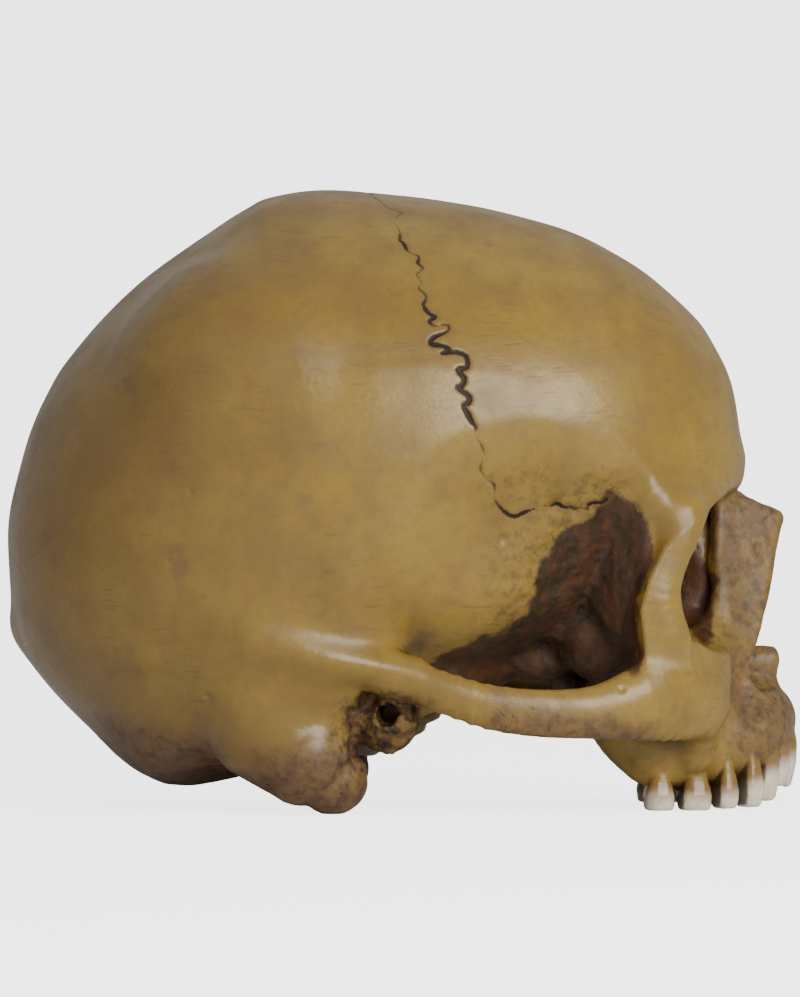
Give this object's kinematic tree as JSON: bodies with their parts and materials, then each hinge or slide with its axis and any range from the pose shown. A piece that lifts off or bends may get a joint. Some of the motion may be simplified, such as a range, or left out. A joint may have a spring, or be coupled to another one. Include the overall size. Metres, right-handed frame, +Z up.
{
  "type": "human cranium",
  "caption": "Adult human cranium without the lower jaw, waxed ochre brown, resting on its teeth and mastoid processes.",
  "frame": {"origin": "centre of the footprint's box, on the level of the floor that the teeth and the mastoid processes rest on", "axes": "+X towards the face, +Y towards the skull's own left, +Z up"},
  "size_m": [0.1947, 0.138, 0.1517],
  "materials": {
    "bone": "smooth waxed bone, ochre, satin gloss, darker wash in the hollows, paler tooth crowns",
    "bone_brown": "waxed bone, browner, satin gloss"
  },
  "bodies": {
    "root": {"frontal_bone": "bone", "parietal_right": "bone", "parietal_left": "bone", "occipital_bone": "bone_brown", "temporal_right": "bone", "temporal_left": "bone", "sphenoid_bone": "bone", "zygomatic_right": "bone", "zygomatic_left": "bone", "maxilla_right": "bone", "maxilla_left": "bone", "nasal_bones": "bone_brown", "vomer": "bone_brown"}
  },
  "joints": []
}
